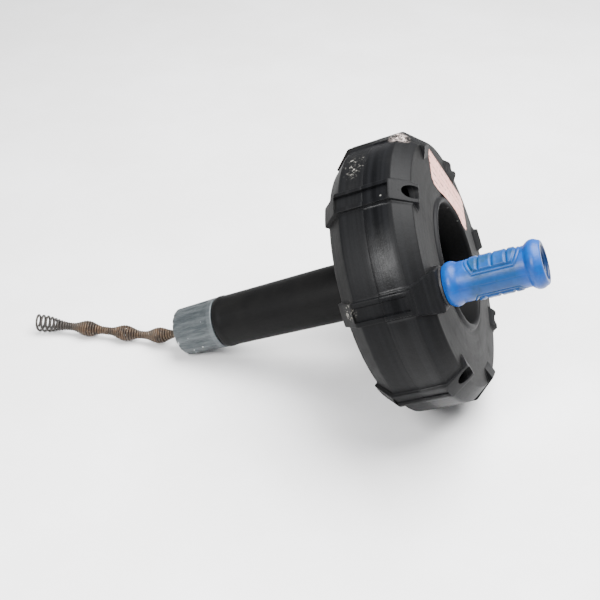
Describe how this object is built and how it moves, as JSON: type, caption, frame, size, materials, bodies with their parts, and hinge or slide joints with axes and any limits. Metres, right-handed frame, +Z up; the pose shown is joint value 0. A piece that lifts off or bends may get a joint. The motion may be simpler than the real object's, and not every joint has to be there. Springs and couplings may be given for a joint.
{
  "type": "drain snake machine",
  "caption": "Hand-cranked drain cleaning snake: ribbed black drum with coiled cable, tapered grip tube, fluted twist-lock collar, three-bulb auger head and blue crank handle.",
  "frame": {"origin": "on the floor under the middle of the whole length as it rests on the drum's front edge and the collar's front rim", "axes": "-X is where the auger head points, +X the crank handle's end, -Y the side the crank handle sits on, +Z up"},
  "size_m": [0.326, 0.1624, 0.1603],
  "materials": {
    "drum_plastic": "black moulded plastic, satin, scuffed",
    "grip_plastic": "matte black plastic",
    "collar_metal": "blue-grey cast metal, worn on the flute crests",
    "handle_plastic": "bright blue plastic with grime in its corners",
    "auger_steel": "rust-browned spring steel, bright on the crests",
    "cable_steel": "oiled, slightly rusted spring steel",
    "zinc_steel": "zinc-plated steel",
    "dark_screw": "blackened steel",
    "chuck_metal": "dark cast metal",
    "jaw_brass": "plain brass",
    "bush_plastic": "natural nylon"
  },
  "bodies": {
    "grip": {"grip_tube": "grip_plastic", "grip_rear_bush": "bush_plastic", "grip_front_bush": "bush_plastic"},
    "drum": {"rear_shell": "drum_plastic", "front_shell": "drum_plastic", "shell_screws": "dark_screw", "neck_tube": "zinc_steel", "neck_flange_screws": "zinc_steel", "cable_coil": "cable_steel", "cable_run": "cable_steel", "cable_tail": "cable_steel", "cable_clamp": "zinc_steel", "cable_clamp_screw": "zinc_steel", "grip_thrust_washer": "bush_plastic", "grip_retaining_ring": "zinc_steel", "chuck_body": "chuck_metal", "crank_spindle": "zinc_steel", "crank_nut": "zinc_steel", "crank_washer": "zinc_steel"},
    "lock_collar": {"lock_collar": "collar_metal"},
    "jaw_a": {"jaw_a": "jaw_brass"},
    "jaw_b": {"jaw_b": "jaw_brass"},
    "jaw_c": {"jaw_c": "jaw_brass"},
    "cable": {"cable_lead": "cable_steel", "auger_head": "auger_steel"},
    "crank_handle": {"crank_handle": "handle_plastic", "crank_end_bush": "bush_plastic"}
  },
  "joints": [
    {"name": "drum_spin", "type": "hinge", "parent": "grip", "child": "drum", "pos_m": [0.06224, 0, 0.06661], "axis": [-0.9127, 0, -0.4086], "continuous": true},
    {"name": "handle_spin", "type": "hinge", "parent": "drum", "child": "crank_handle", "pos_m": [0.12587, -0.05543, 0.12025], "axis": [-0.9127, 0, -0.4086], "continuous": true},
    {"name": "collar_twist", "type": "hinge", "parent": "drum", "child": "lock_collar", "pos_m": [-0.04273, 0, 0.01962], "axis": [-0.9127, 0, -0.4086], "range_deg": [-60, 0]},
    {"name": "jaw_a_slide", "type": "slide", "parent": "drum", "child": "jaw_a", "axis": [0, -1, 0], "range_m": [0, 0.0008]},
    {"name": "jaw_b_slide", "type": "slide", "parent": "drum", "child": "jaw_b", "axis": [-0.3538, 0.5, 0.7904], "range_m": [0, 0.0008]},
    {"name": "jaw_c_slide", "type": "slide", "parent": "drum", "child": "jaw_c", "axis": [0.3538, 0.5, -0.7904], "range_m": [0, 0.0008]},
    {"name": "cable_feed", "type": "slide", "parent": "drum", "child": "cable", "axis": [-0.9127, 0, -0.4086], "range_m": [0, 0.1]}
  ],
  "couplings": [
    {"joint": "jaw_a_slide", "follows": "collar_twist", "m_per_rad": -0.00076394},
    {"joint": "jaw_b_slide", "follows": "collar_twist", "m_per_rad": -0.00076394},
    {"joint": "jaw_c_slide", "follows": "collar_twist", "m_per_rad": -0.00076394}
  ]
}
